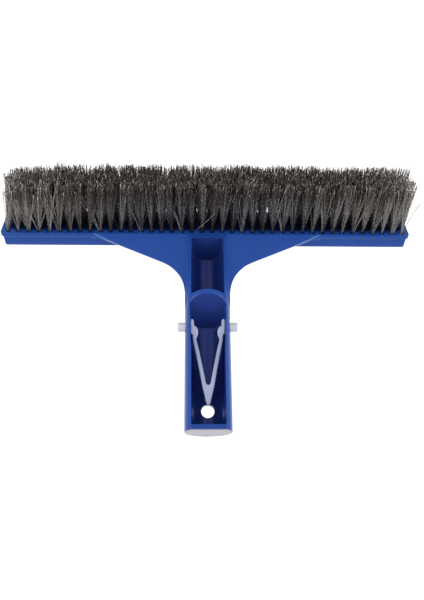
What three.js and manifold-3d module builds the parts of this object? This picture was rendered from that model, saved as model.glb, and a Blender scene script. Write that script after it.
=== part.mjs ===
// Pool wall brush: a one-piece moulded body (bristle head, web and slotted handle),
// a moulded V-clip with two snap buttons, and 160 wire tufts in a 40 x 4 grid.
//
// Frame: millimetres. X runs across the brush, Y runs along the handle towards the
// head, +Z points out of the open side of the handle. The origin is the centre of
// the handle's end face, on the handle's axis.
import * as THREE from 'three';
import { mergeVertices } from 'three/addons/utils/BufferGeometryUtils.js';
import Module from 'manifold-3d';

const degrees = THREE.MathUtils.degToRad;

const GAP = 0.3;                // clearance between separate pieces

// ---------------------------------------------------------------- handle dimensions
const HANDLE_R = 13.75;
const HANDLE_RUN = 150;         // length before its far end is cut off under the head
const BACK_CUT_INSET = 3.4;     // that cut, in from the back edge of the lip
const END_WALL = 3.2;           // thickness of the wall that closes the handle's end

// Two troughs, parted by a bulkhead: one on the side of the handle's end, one on the
// side of the head. A radius is both half the width and the radius of the floor.
const HEAD_TROUGH_R = 9.9;
const END_TROUGH_R = 9.65;      // from the end wall to FLARE_Y
const FLARE_Y = 45;             // from here the end trough widens
const FLARE = 1.2 / 35;         // by this much per millimetre
const FLARE_RUN = 50;           // length of the widening part of its cutter
const FLOOR_Z = -9.5;           // flat strip along the bottom of both troughs
const RIM_Z = Math.sqrt(HANDLE_R ** 2 - HEAD_TROUGH_R ** 2);   // height of the trough rims

// Slanted ends of the troughs; a tilt leans the plane towards the head as it rises.
const BULKHEAD_END_Y = 79.9;    // bulkhead's side towards the handle's end, at the crest
const BULKHEAD_END_TILT = degrees(32.5);
const BULKHEAD_HEAD_Y = 82.6;   // bulkhead's side towards the head, at the crest
const BULKHEAD_HEAD_TILT = degrees(18);
const TROUGH_STOP_Y = 119.9;    // head trough's far end, at the height of the rim
const TROUGH_STOP_TILT = degrees(22);

const HANG_HOLE_Y = 14.2;       // hanging hole through the floor
const HANG_HOLE_D = 7.8;

// ---------------------------------------------------------------- head dimensions
// Front is the edge nearer the handle, back the edge away from it.
const HEAD_TILT = degrees(24);  // angle of the bristle face to the handle axis
const HEAD_W = 257.6;           // width over the lip
const HEAD_D = 25.2;            // depth of the lip, front to back
const LIP_Y = 122.1;            // front edge of the bristle face, along the handle
const LIP_Z = 7.5;              // front edge of the bristle face, above the axis
const LIP_T = 3.0;
const LIP_CORNER_R = 2.2;
const BLOCK_T = 8.4;            // thickness of the block under the lip
const BLOCK_BOTTOM = -LIP_T - BLOCK_T;
const BLOCK_INSET_X = 1.2;      // how far the block stands in from the lip's ends
const BLOCK_INSET_Y = 1.1;      // and from its front and back edges
const BLOCK_DRAFT_X = 0.1;      // further taper down to the bevel round its lower face
const BLOCK_DRAFT_Y = 0.3;
const BEVEL_X = 1.1;
const BEVEL_Y = 1.0;
const BEVEL_Z = 1.2;
const BLOCK_OVERLAP = 0.5;      // how far the block reaches into the lip

// ---------------------------------------------------------------- web dimensions
const WEB_T = 2.9;
const WEB_Z = 7.3;              // height of its upper face at the head
const WEB_BEND_Y = 95;          // where that face starts to curve down
const WEB_BEND_Z = 6.8;
const WEB_TAIL_Y = 76;          // where it has run out on the handle
const WEB_TAIL_Z = 2.7;
const WEB_CURVE_STEPS = 5;
const WEB_OVERRUN = 6;          // how far the web runs on under the head
const WEB_OVERRUN_SPREAD = 0.6; // how much wider each side gets over that length
// Edge of the web from the head to the handle: x, y.
const WEB_EDGE = [
  [70.2, LIP_Y], [58.2, 116.1], [28.5, 103.45], [24.9, 101.6], [21.8, 99.3], [18.1, 95.2],
  [15.8, 91.2], [14.5, 87.2], [13.95, 83.2], [13.7, 79.5], [13.4, WEB_TAIL_Y],
];

// ---------------------------------------------------------------- tuft dimensions
const COLUMNS = 40;
const ROWS = 4;
const PITCH = 6.36;             // both ways
const TUFT_SIDES = 6;           // tufts and their holes are hexagonal
const TUFT_HOLE_R = 1.5;
const TUFT_HOLE_DEPTH = 7.4;
const TUFT_DEPTH = 7.0;         // how deep a tuft sits in its hole
const TUFT_ROOT_X = 1.15;       // half width of a tuft at its root
const TUFT_ROOT_Y = 0.9 * TUFT_ROOT_X;   // half depth there
const TUFT_ROOT_TOP = 1.0;      // height above the face where it starts to spread
const TUFT_TOP_X = 2.93;        // half width at its tips
const TUFT_TOP_Y = 3.42;        // half depth at its tips
const TUFT_LEN = 34.0;          // bristle length above the face
const TUFT_SPREAD_END = 0.8 * TUFT_LEN;  // height where it has its full width

// ---------------------------------------------------------------- V-clip dimensions
const CLIP_Z0 = -2.0;           // lower and upper edge of the strip
const CLIP_Z1 = 4.2;
const ARM_T = 2.3;              // thickness that sets the width at the hinge
const HINGE_X = 2.45;           // bending point of each arm
const HINGE_Y = 28.6;
const HINGE_INNER_X = HINGE_X - 0.46 * ARM_T;
const HINGE_OUTER_X = HINGE_X + 0.6 * ARM_T;

const BUTTON_Y = 63.1;
const BUTTON_R = 5.7 / 2;
const BUTTON_BASE_X = 8.4;      // where the stub starts inside the arm
const BUTTON_TIP_X = 18.3;      // how far a button reaches from the axis
const BUTTON_SLOT_R = 6.6 / 2;  // half width of its slot in the handle's wall
const BUTTON_SLOT_EXTRA = 1.9;  // the slot's extra length towards the head

const SEAT_HALF_W = 1.9;        // seat of the clip's foot in the floor
const SEAT_Y0 = 19.6;
const SEAT_Y1 = 25.4;
const SEAT_BOTTOM = -12.2;
const FOOT_Y0 = SEAT_Y0 + GAP;
const FOOT_Y1 = SEAT_Y1 - GAP;

// Outline of the right arm (x > 0): x, y. Out along its outer side, round the button's
// head and back along the inner side.
const ARM_OUTLINE = [
  [HINGE_INNER_X, HINGE_Y + GAP], [HINGE_OUTER_X, HINGE_Y + GAP],
  [5.35, 36.0], [7.65, 48.0], [8.95, 54.0], [9.15, 56.9], [9.7, 57.4], [9.85, 60.0],
  [9.95, 62.0], [10.03, 65.4], [9.9, 66.3], [9.35, 66.9], [8.7, 66.6], [8.35, 65.6],
  [8.25, BUTTON_Y], [7.9, 62.6], [6.9, 61.9], [6.1, 60.6], [5.75, 58.9], [5.85, 57.2],
  [6.4, 55.8], [6.7, 54.6], [6.4, 53.2], [5.2, 48.0], [2.9, 36.0],
];

// Right side of the root, from the hinge to the tip of the stem: x, y.
const ROOT_SIDE = [
  [HINGE_OUTER_X, HINGE_Y], [3.4, 26.3], [2.95, 24.0], [2.45, 21.5], [1.95, 19.2],
  [1.65, 17.0], [1.25, 15.8],
];

// The notch between the two hinges, from right to left: x, y.
const ROOT_NOTCH = [
  [HINGE_INNER_X, HINGE_Y], [0.75, 26.9], [-0.75, 26.9], [-HINGE_INNER_X, HINGE_Y],
];

// ---------------------------------------------------------------- materials
const blue = () => new THREE.MeshStandardMaterial({
  color: 0x26489a, roughness: 0.42, metalness: 0.0,
});
const pale = () => new THREE.MeshStandardMaterial({
  color: 0xb9bdcd, roughness: 0.38, metalness: 0.0,
});
const steel = () => new THREE.MeshStandardMaterial({
  color: 0x6f6962, roughness: 0.38, metalness: 0.85,
});

// ---------------------------------------------------------------- solids
const wasm = await Module();
wasm.setup();

function solid(geometry) {
  // Normals and uvs would keep shared corners apart.
  geometry.deleteAttribute('normal');
  geometry.deleteAttribute('uv');
  const merged = mergeVertices(geometry, 1e-4);
  return new wasm.Manifold(new wasm.Mesh({
    numProp: 3,
    vertProperties: new Float32Array(merged.attributes.position.array),
    triVerts: new Uint32Array(merged.index.array),
  }));
}

// The head's own frame: its XY plane is the bristle face, y runs from the front edge
// back, and z is the bristle direction.
const headFrame = new THREE.Matrix4().makeTranslation(0, LIP_Y, LIP_Z)
  .multiply(new THREE.Matrix4().makeRotationX(-HEAD_TILT));

function headSolid(geometry) {
  return solid(geometry.applyMatrix4(headFrame));
}

function indexedGeometry(positions, indices) {
  const geometry = new THREE.BufferGeometry();
  geometry.setAttribute('position',
    new THREE.BufferAttribute(new Float32Array(positions), 3));
  geometry.setIndex(new THREE.BufferAttribute(new Uint32Array(indices), 1));
  return geometry;
}

// A prism: a closed outline in the XY plane, from z0 to z1.
function prism(points, z0, z1) {
  const shape = new THREE.Shape(points.map(([x, y]) => new THREE.Vector2(x, y)));
  const geometry = new THREE.ExtrudeGeometry(shape, {
    depth: z1 - z0, bevelEnabled: false, steps: 1,
  });
  return geometry.translate(0, 0, z0);
}

// A prism whose outline lies in the XZ plane, from y0 to y1.
function prismY(points, y0, y1) {
  return prism(points.map(([x, z]) => [x, -z]), y0, y1).rotateX(-Math.PI / 2);
}

// A prism whose outline lies in the YZ plane, from x0 to x1.
function prismX(points, x0, x1) {
  return prism(points, x0, x1).applyMatrix4(new THREE.Matrix4().set(
    0, 0, 1, 0,
    1, 0, 0, 0,
    0, 1, 0, 0,
    0, 0, 0, 1));
}

// A loft between closed rings of the same number of points.
function loft(rings) {
  const count = rings[0].length;
  const indices = [];
  for (let k = 0; k + 1 < rings.length; k++) {
    for (let i = 0; i < count; i++) {
      const here = k * count + i;
      const next = k * count + (i + 1) % count;
      indices.push(here, next, next + count, here, next + count, here + count);
    }
  }
  const last = (rings.length - 1) * count;
  for (let i = 1; i + 1 < count; i++) {
    indices.push(0, i + 1, i);
    indices.push(last, last + i, last + i + 1);
  }
  return indexedGeometry(rings.flat(2), indices);
}

// ---------------------------------------------------------------- outlines
function circle(radius, segments, centreX = 0, centreY = 0) {
  return Array.from({ length: segments }, (_, i) => {
    const angle = 2 * Math.PI * i / segments;
    return [centreX + radius * Math.cos(angle), centreY + radius * Math.sin(angle)];
  });
}

// Points of an arc, both ends included.
function arc(radius, centreX, centreY, start, sweep, segments) {
  return Array.from({ length: segments + 1 }, (_, i) => {
    const angle = start + sweep * i / segments;
    return [centreX + radius * Math.cos(angle), centreY + radius * Math.sin(angle)];
  });
}

// A slot with round ends, centred at a and at b on its first axis.
function stadium(radius, segments, a, b) {
  return [
    ...arc(radius, a, 0, Math.PI / 2, Math.PI, segments),
    ...arc(radius, b, 0, -Math.PI / 2, Math.PI, segments),
  ];
}

function rectangle(halfWidth, y0, y1) {
  return [[-halfWidth, y0], [halfWidth, y0], [halfWidth, y1], [-halfWidth, y1]];
}

// The lip's outline in the head's frame, moved in by the insets.
function headOutline(insetX, insetY, radius) {
  const x = HEAD_W / 2 - insetX - radius;
  const y0 = insetY + radius;
  const y1 = HEAD_D - insetY - radius;
  const quarter = Math.PI / 2;
  return [[x, y1], [-x, y1], [-x, y0], [x, y0]].flatMap(
    ([cornerX, cornerY], i) => arc(radius, cornerX, cornerY, i * quarter, quarter, 3));
}

// A side given as points with x > 0, joined to its mirror image.
function mirrored(side) {
  return [...side.map(([x, y]) => [-x, y]), ...side.slice().reverse()];
}

// ---------------------------------------------------------------- body
// Round handle. It runs on under the head and is cut off square to the bristle face.
function makeHandle() {
  const tube = solid(prismY(circle(HANDLE_R, 48), 0, HANDLE_RUN));
  return tube.subtract(headSolid(prism(rectangle(40, HEAD_D - BACK_CUT_INSET, 60), -60, 60)));
}

// Web: a plate whose two edges sweep out from the handle to the head. Its upper
// face is nearly level and curves down where it runs out on the handle.
function makeWeb() {
  const farY = LIP_Y + WEB_OVERRUN;
  const slope = (WEB_Z - WEB_BEND_Z) / (LIP_Y - WEB_BEND_Y);
  const outline = mirrored([[WEB_EDGE[0][0] + WEB_OVERRUN_SPREAD, farY], ...WEB_EDGE]);
  const top = [[farY, WEB_Z + WEB_OVERRUN * slope]];
  for (let i = 0; i <= WEB_CURVE_STEPS; i++) {
    const t = i / WEB_CURVE_STEPS;
    top.push([
      WEB_BEND_Y + (WEB_TAIL_Y - WEB_BEND_Y) * t,
      WEB_BEND_Z + (WEB_TAIL_Z - WEB_BEND_Z) * t * t,
    ]);
  }
  const profile = [...top, ...top.slice().reverse().map(([y, z]) => [y, z - WEB_T])];
  return solid(prism(outline, -10, 20)).intersect(solid(prismX(profile, -100, 100)));
}

function makeLip() {
  return headSolid(prism(headOutline(0, 0, LIP_CORNER_R), -LIP_T, 0));
}

// Block under the lip, with drafted sides and a bevel round its lower face.
function makeBlock() {
  const draftedX = BLOCK_INSET_X + BLOCK_DRAFT_X;
  const draftedY = BLOCK_INSET_Y + BLOCK_DRAFT_Y;
  // Inset x, inset y, z, corner radius.
  const rings = [
    [draftedX + BEVEL_X, draftedY + BEVEL_Y, BLOCK_BOTTOM, 1.4],
    [draftedX, draftedY, BLOCK_BOTTOM + BEVEL_Z, 2.0],
    [BLOCK_INSET_X, BLOCK_INSET_Y, -LIP_T + BLOCK_OVERLAP, 2.0],
  ];
  return headSolid(loft(rings.map(([insetX, insetY, z, radius]) =>
    headOutline(insetX, insetY, radius).map(([x, y]) => [x, y, z]))));
}

// Cross-section of a trough at y: a half-round floor and straight walls above it.
function troughSection(radius, y) {
  const wallTop = 40;
  const floor = arc(radius, 0, 0, Math.PI, Math.PI, 20);
  return [...floor, [radius, wallTop], [-radius, wallTop]].map(([x, z]) => [x, y, z]).reverse();
}

// A plane through (planeY, planeZ) in the YZ plane; gives its point at height z.
function slantedPlane(planeY, planeZ, tilt) {
  return (z) => [planeY + (z - planeZ) * Math.tan(tilt), z];
}

// Cutter for a trough, limited by two end planes and the flat floor strip.
function makeTrough(start, end, sections) {
  const top = 30;
  const side = [start(FLOOR_Z), end(FLOOR_Z), end(top), start(top)];
  return solid(prismX(side, -20, 20)).intersect(solid(loft(sections)));
}

function makeEndTrough() {
  return makeTrough(
    slantedPlane(END_WALL, 0, 0),
    slantedPlane(BULKHEAD_END_Y, HANDLE_R, BULKHEAD_END_TILT),
    [
      troughSection(END_TROUGH_R, -10),
      troughSection(END_TROUGH_R, FLARE_Y),
      troughSection(END_TROUGH_R + FLARE * FLARE_RUN, FLARE_Y + FLARE_RUN),
    ]);
}

function makeHeadTrough() {
  return makeTrough(
    slantedPlane(BULKHEAD_HEAD_Y, HANDLE_R, BULKHEAD_HEAD_TILT),
    slantedPlane(TROUGH_STOP_Y, RIM_Z, TROUGH_STOP_TILT),
    [troughSection(HEAD_TROUGH_R, 60), troughSection(HEAD_TROUGH_R, 160)]);
}

function tuftAt(column, row) {
  return [
    (column - (COLUMNS - 1) / 2) * PITCH,
    HEAD_D / 2 + (row - (ROWS - 1) / 2) * PITCH,
  ];
}

// Tuft holes, blind, square to the bristle face.
function makeTuftHoles() {
  const holes = [];
  for (let column = 0; column < COLUMNS; column++) {
    for (let row = 0; row < ROWS; row++) {
      const outline = circle(TUFT_HOLE_R, TUFT_SIDES, ...tuftAt(column, row));
      holes.push(headSolid(prism(outline, -TUFT_HOLE_DEPTH, 2)));
    }
  }
  return wasm.Manifold.union(holes);
}

function makeBody() {
  const aboveFace = headSolid(prism(rectangle(140, -40, 60), 0, 60));
  // Brings the end wall down to the height of the trough rims.
  const aboveEndWall = solid(prism(rectangle(30, -5, END_WALL), RIM_Z, 30));
  const hangingHole = solid(prism(circle(HANG_HOLE_D / 2, 24, 0, HANG_HOLE_Y), -20, -2));
  // One cutter makes the slots in both walls.
  const buttonSlots = solid(prismX(
    stadium(BUTTON_SLOT_R, 10, BUTTON_Y, BUTTON_Y + BUTTON_SLOT_EXTRA), -20, 20));
  const footSeat = solid(prism(rectangle(SEAT_HALF_W, SEAT_Y0, SEAT_Y1), SEAT_BOTTOM, -5));

  return makeHandle()
    .add(makeWeb())
    .add(makeLip())
    .add(makeBlock())
    .subtract(aboveFace)
    .subtract(aboveEndWall)
    .subtract(makeEndTrough())
    .subtract(makeHeadTrough())
    .subtract(hangingHole)
    .subtract(buttonSlots)
    .subtract(footSeat)
    .subtract(makeTuftHoles());
}

// ---------------------------------------------------------------- tufts
// One column across the depth of the head: four bundles of wire, each standing in its
// hole, that spread until their tips meet.
function makeColumn(column) {
  // Half width, half depth, z.
  const stations = [
    [TUFT_ROOT_X, TUFT_ROOT_Y, -TUFT_DEPTH],
    [TUFT_ROOT_X, TUFT_ROOT_Y, TUFT_ROOT_TOP],
    [TUFT_TOP_X, TUFT_TOP_Y, TUFT_SPREAD_END],
    [TUFT_TOP_X, TUFT_TOP_Y, TUFT_LEN],
  ];
  // A unit hexagon with corners on x is only this deep each way in y.
  const hexagonDepth = Math.cos(Math.PI / 6);
  const tufts = [];
  for (let row = 0; row < ROWS; row++) {
    const [x, y] = tuftAt(column, row);
    tufts.push(headSolid(loft(stations.map(([halfX, halfY, z]) =>
      circle(1, TUFT_SIDES).map(([unitX, unitY]) => [
        x + unitX * halfX, y + unitY * halfY / hexagonDepth, z])))));
  }
  return wasm.Manifold.union(tufts);
}

// ---------------------------------------------------------------- V-clip
// A short stub with a rounded end and a small flat at its tip, pointing along +X.
function makeButton() {
  const length = BUTTON_TIP_X - BUTTON_BASE_X;
  // Radius, distance from the base.
  const profile = [
    [0, 0], [BUTTON_R, 0], [BUTTON_R, 7.6], [BUTTON_R - 0.35, 8.9],
    [BUTTON_R - 1.1, length], [0, length],
  ].map(([radius, height]) => new THREE.Vector2(radius, height));
  return solid(new THREE.LatheGeometry(profile, 18)
    .rotateZ(-Math.PI / 2)
    .translate(BUTTON_BASE_X, BUTTON_Y, 0));
}

// Right arm (x > 0): a strip from the hinge out to the handle's wall, with its button.
function makeArm() {
  return solid(prism(ARM_OUTLINE, CLIP_Z0, CLIP_Z1)).add(makeButton());
}

// Root of the V: the crotch block, the tapering stem and the foot in the floor.
function makeRoot() {
  const plate = solid(prism([...mirrored(ROOT_SIDE), ...ROOT_NOTCH], CLIP_Z0, CLIP_Z1));
  // The stem's upper face falls away towards its tip.
  const slopeCut = solid(prismX(
    [[15, CLIP_Z1 - 3.2], [24.5, CLIP_Z1], [24.5, 10], [15, 10]], -10, 10));
  // Below the stem a thick leg stands on the floor, with a foot in the seat.
  const leg = solid(prism(
    [[-2.1, FOOT_Y0], [2.1, FOOT_Y0], [2.5, FOOT_Y1], [-2.5, FOOT_Y1]],
    FLOOR_Z + GAP, CLIP_Z0 + 0.5));
  const foot = solid(prism(
    rectangle(SEAT_HALF_W - GAP, FOOT_Y0, FOOT_Y1), SEAT_BOTTOM + GAP, FLOOR_Z + 0.8));
  return plate.subtract(slopeCut).add(leg).add(foot);
}

// ---------------------------------------------------------------- assembly
const brush = new THREE.Group();

function place(name, manifold, material) {
  const { vertProperties, triVerts } = manifold.getMesh();
  const mesh = new THREE.Mesh(indexedGeometry(vertProperties, triVerts), material);
  mesh.name = name;
  brush.add(mesh);
}

place('body', makeBody(), blue());
place('v_clip_root', makeRoot(), pale());
place('v_clip_arm_left', makeArm().mirror([1, 0, 0]), pale());
place('v_clip_arm_right', makeArm(), pale());
for (let column = 0; column < COLUMNS; column++) {
  const number = String(column + 1).padStart(2, '0');
  place(`tuft_column_${number}`, makeColumn(column), steel());
}

export default brush;
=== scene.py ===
"""Pool wall brush: a blue moulding with a trough-shaped handle and a wide head, a pale
V-shaped clip lying in the handle, and a head full of crimped steel tufts.

x runs across the head (left is -x), y from the handle's end to the head, z up. The
handle's axis is the y axis. The bristles lean from +z towards +y by TILT; the head's
front edge is the one towards the handle. Shapes are distance fields in millimetres,
negative inside, meshed here; wires are thin tubes. Materials, lights and camera are
in metres.
"""
import itertools
import math
from types import SimpleNamespace

import bpy
import numpy as np
from mathutils import Matrix, Vector


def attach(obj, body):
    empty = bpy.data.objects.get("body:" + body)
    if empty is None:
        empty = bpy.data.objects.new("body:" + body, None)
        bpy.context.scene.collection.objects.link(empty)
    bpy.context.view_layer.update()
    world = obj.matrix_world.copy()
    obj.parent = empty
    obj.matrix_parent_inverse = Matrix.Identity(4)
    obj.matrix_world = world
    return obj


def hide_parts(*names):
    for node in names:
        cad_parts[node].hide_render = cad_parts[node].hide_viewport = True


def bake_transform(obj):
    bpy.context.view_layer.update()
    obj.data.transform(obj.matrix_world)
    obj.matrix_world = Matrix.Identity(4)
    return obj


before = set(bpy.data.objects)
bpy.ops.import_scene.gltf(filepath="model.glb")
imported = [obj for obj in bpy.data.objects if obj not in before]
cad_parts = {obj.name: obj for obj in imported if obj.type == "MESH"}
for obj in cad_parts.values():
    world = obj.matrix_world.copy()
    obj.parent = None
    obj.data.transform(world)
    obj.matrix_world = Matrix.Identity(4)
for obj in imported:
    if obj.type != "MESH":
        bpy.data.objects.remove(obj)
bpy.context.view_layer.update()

MM = 0.001

# ------------------------------------------------------------------ dimensions, mm
HANDLE_R = 13.75
# the near trough runs from the end wall to the arch, the far one on into the head
NEAR_TROUGH_R = 9.65
FAR_TROUGH_R = 9.9
FLARE_Y = 45.0                  # the near trough widens from here on
FLARE = 1.2 / 35
TROUGH_FLOOR_Z = -9.5
END_WALL = 3.2
RIM_Z = math.sqrt(HANDLE_R**2 - FAR_TROUGH_R**2)
ARCH_NEAR_Y = 79.9              # the arch's two faces at the handle's top
ARCH_FAR_Y = 82.6
FAR_END_Y = 119.9

TILT = math.radians(24)
HEAD_W = 257.6
HEAD_D = 25.2
HANDLE_INSET = 3.6              # from the head's back edge to the handle's
LIP_Y = 122.1                   # the front edge of the bristle face
LIP_Z = 7.5
LIP_T = 3.0
BLOCK_T = 8.4                   # the block below the lip
BLOCK_INSET_X = 1.2
BLOCK_INSET_Y = 1.1
BLOCK_DRAFT_X = 0.1
BLOCK_DRAFT_Y = 0.35

WEB_Z = 7.3                     # the web's top at the lip
WEB_BEND_Y, WEB_BEND_Z = 95.0, 6.8
WEB_TAIL_Y, WEB_TAIL_Z = 76.0, 2.7
WEB_T = 2.9
# the web's right edge from the lip towards the handle, (x, y): straight, then curved
WEB_STRAIGHT = [(70.2, 122.1), (58.2, 116.1)]
WEB_CURVE = [
    (28.5, 103.45), (24.9, 101.6), (21.8, 99.3), (18.1, 95.2), (15.8, 91.2),
    (14.5, 87.2), (13.95, 83.2), (13.7, 79.5), (13.4, 76.0),
]

HOLE_Y = 14.2                   # round hole through the trough's floor
HOLE_D = 7.8
BUTTON_Y = 63.1
BUTTON_D = 5.7
BUTTON_TIP = 18.3
BUTTON_HOLE_R = 3.2
BUTTON_SLOT = 1.9               # how much longer than round the button holes are
SEAT_Y = 22.5                   # the clip's leg and peg, and the seat for the peg
SPLIT_Y = 30.4                  # the clip's root and arms meet here

COLUMNS = 40
ROWS = 4
PITCH = 6.36
TUFT_HOLE_R = 1.42
TUFT_HOLE_DEPTH = 4.2
WIRE_ROOT = 3.6                 # how deep the wires start
TUFT_LEN = 34.0

COS_TILT, SIN_TILT = math.cos(TILT), math.sin(TILT)
ACROSS = np.array([1.0, 0.0, 0.0])
BACK = np.array([0.0, COS_TILT, -SIN_TILT])     # from the head's front edge to its back
RISE = np.array([0.0, SIN_TILT, COS_TILT])      # along the bristles
LIP = np.array([0.0, LIP_Y, LIP_Z])


# ------------------------------------------------------------------ field tools
def round_union(a, b, radius):
    """Union of two fields with a fillet in the inner corner."""
    in_a = np.maximum(radius - a, 0.0)
    in_b = np.maximum(radius - b, 0.0)
    return np.maximum(radius, np.minimum(a, b)) - np.sqrt(in_a * in_a + in_b * in_b)


def round_overlap(a, b, radius):
    """Intersection of two fields with the outer corner rounded."""
    out_a = np.maximum(radius + a, 0.0)
    out_b = np.maximum(radius + b, 0.0)
    return np.minimum(-radius, np.maximum(a, b)) + np.sqrt(out_a * out_a + out_b * out_b)


def round_cut(a, b, radius):
    """a with b taken out, the new edge rounded."""
    return round_overlap(a, -b, radius)


def rectangle(x, y, half_x, half_y, radius):
    """Rectangle with rounded corners."""
    over_x = np.abs(x) - half_x + radius
    over_y = np.abs(y) - half_y + radius
    return (
        np.sqrt(np.maximum(over_x, 0) ** 2 + np.maximum(over_y, 0) ** 2)
        + np.minimum(np.maximum(over_x, over_y), 0)
        - radius
    )


def polygon(x, y, points):
    """Signed distance to a closed polygon. x and y broadcast."""
    shape = np.broadcast(x, y).shape
    x = np.broadcast_to(x, shape).astype(np.float32)
    y = np.broadcast_to(y, shape).astype(np.float32)
    nearest = np.full(shape, 1e9, np.float32)
    inside = np.zeros(shape, bool)
    for i, (ax, ay) in enumerate(points):
        bx, by = points[(i + 1) % len(points)]
        edge_x, edge_y = bx - ax, by - ay
        to_x, to_y = x - ax, y - ay
        along = (to_x * edge_x + to_y * edge_y) / (edge_x * edge_x + edge_y * edge_y + 1e-12)
        along = np.clip(along, 0, 1)
        dx, dy = to_x - edge_x * along, to_y - edge_y * along
        nearest = np.minimum(nearest, dx * dx + dy * dy)
        crosses = (ay <= y) != (by <= y)
        cross_x = ax + (y - ay) * (edge_x / (edge_y if abs(edge_y) > 1e-9 else 1e-9))
        inside ^= crosses & (x < cross_x)
    nearest = np.sqrt(nearest)
    return np.where(inside, -nearest, nearest)


def smooth_step(t):
    t = np.clip(t, 0, 1)
    return t * t * (3 - 2 * t)


def spline_span(p0, p1, p2, p3, steps):
    """Catmull-Rom points from p1 up to, but not at, p2."""
    return [
        tuple(
            0.5
            * (
                2 * p1
                + (p2 - p0) * t
                + (2 * p0 - 5 * p1 + 4 * p2 - p3) * t * t
                + (3 * p1 - p0 - 3 * p2 + p3) * t**3
            )
        )
        for t in (k / steps for k in range(steps))
    ]


def closed_curve(points, steps, corners):
    """Closed smooth curve; the points whose indices are in corners stay sharp."""
    points = [np.array(p, float) for p in points]
    count = len(points)
    out = []
    for i in range(count):
        p1, p2 = points[i], points[(i + 1) % count]
        p0 = p1 if i in corners else points[(i - 1) % count]
        p3 = p2 if (i + 1) % count in corners else points[(i + 2) % count]
        out += spline_span(p0, p1, p2, p3, steps)
    return out


def open_curve(points, steps):
    """Smooth curve through points, ends included."""
    p = [np.array(q, float) for q in points]
    p = [2 * p[0] - p[1], *p, 2 * p[-1] - p[-2]]
    out = []
    for i in range(1, len(p) - 2):
        out += spline_span(*p[i - 1 : i + 3], steps)
    return out + [tuple(points[-1])]


# ------------------------------------------------------------------ meshing
CORNERS = list(itertools.product((0, 1), repeat=3))
CHUNK = 3e6                     # grid points evaluated at a time
PROJECT_PASSES = 3
PROJECT_REACH = 0.02            # half the span of the slope's differences, mm
SHADE_REACH = 0.04              # the same for shading normals


def field_values(field, points, kind=float):
    return field(*(points[:, axis].astype(np.float32) for axis in range(3))).astype(kind)


def differences(field, points, reach, kind=float):
    """Central differences of the field along x, y and z."""
    out = np.empty_like(points)
    for axis in range(3):
        offset = np.zeros(3)
        offset[axis] = reach
        out[:, axis] = field_values(field, points + offset, kind) - field_values(
            field, points - offset, kind
        )
    return out


def surface(field, low, high, step):
    """Meshes the field's zero surface on a grid, one vertex to a crossed cell, moves
    the vertices onto the surface, and returns (vertices, quads)."""
    low, high = np.array(low, float), np.array(high, float)
    count = np.ceil((high - low) / step).astype(int) + 1
    x, y, z = ((low[k] + step * np.arange(count[k])).astype(np.float32) for k in range(3))
    x, y, z = x[:, None, None], y[None, :, None], z[None, None, :]
    values = np.empty(tuple(count), np.float32)
    chunk = max(1, int(CHUNK / (count[1] * count[2])))
    for i in range(0, count[0], chunk):
        values[i : i + chunk] = field(x[i : i + chunk], y, z)
    inside = values < 0

    # cells with a sign change
    last = count - 1
    filled = np.zeros(tuple(last), np.uint8)
    for i, j, k in CORNERS:
        filled += inside[i : last[0] + i, j : last[1] + j, k : last[2] + k]
    cells = np.argwhere((filled > 0) & (filled < 8))
    index = np.full(tuple(last), -1, np.int32)
    index[tuple(cells.T)] = np.arange(len(cells))

    # a cell's vertex is the mean of the crossings on its edges
    total = np.zeros((len(cells), 3))
    crossings = np.zeros(len(cells))
    for corner in CORNERS:
        for axis in range(3):
            if corner[axis]:
                continue
            other = list(corner)
            other[axis] = 1
            here = values[tuple((cells + corner).T)]
            there = values[tuple((cells + other).T)]
            crossed = (here < 0) != (there < 0)
            place = np.tile(np.array(corner, float), (crossed.sum(), 1))
            place[:, axis] += here[crossed] / (here[crossed] - there[crossed])
            total[crossed] += place
            crossings[crossed] += 1
    verts = low + step * (cells + total / crossings[:, None])

    # a quad round every crossed grid edge
    quads = []
    for axis in range(3):
        edges = np.argwhere(np.diff(inside, axis=axis))
        side1, side2 = (axis + 1) % 3, (axis + 2) % 3
        whole = (
            (edges[:, side1] > 0)
            & (edges[:, side2] > 0)
            & (edges[:, side1] < last[side1])
            & (edges[:, side2] < last[side2])
        )
        edges = edges[whole]
        outward = inside[tuple(edges.T)]
        around = []
        for step1, step2 in ((-1, -1), (0, -1), (0, 0), (-1, 0)):
            cell = edges.copy()
            cell[:, side1] += step1
            cell[:, side2] += step2
            around.append(index[tuple(cell.T)])
        quad = np.stack(around, 1)
        quad[~outward] = quad[~outward][:, ::-1]
        quads.append(quad)

    for _ in range(PROJECT_PASSES):
        slope = differences(field, verts, PROJECT_REACH) / (2 * PROJECT_REACH)
        steepness = np.maximum((slope * slope).sum(1), 0.05)
        move = -(field_values(field, verts) / steepness)[:, None] * slope
        length = np.linalg.norm(move, axis=1)
        move *= np.minimum(1.0, 0.5 * step / np.maximum(length, 1e-9))[:, None]
        verts = verts + move
    return verts, np.concatenate(quads)


def mesh_object(name, verts, *face_sets):
    """A smooth mesh object, verts in millimetres, each face set an (n, sides) array."""
    mesh = bpy.data.meshes.new(name)
    corners = np.concatenate([faces.ravel() for faces in face_sets]).astype(np.int32)
    sides = np.concatenate([np.full(len(faces), faces.shape[1]) for faces in face_sets])
    mesh.vertices.add(len(verts))
    mesh.vertices.foreach_set("co", (verts * MM).astype(np.float32).ravel())
    mesh.loops.add(len(corners))
    mesh.loops.foreach_set("vertex_index", corners)
    mesh.polygons.add(len(sides))
    mesh.polygons.foreach_set("loop_start", (np.cumsum(sides) - sides).astype(np.int32))
    mesh.polygons.foreach_set("use_smooth", np.full(len(sides), True))
    mesh.update(calc_edges=True)
    ob = bpy.data.objects.new(name, mesh)
    bpy.context.scene.collection.objects.link(ob)
    return ob


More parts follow.
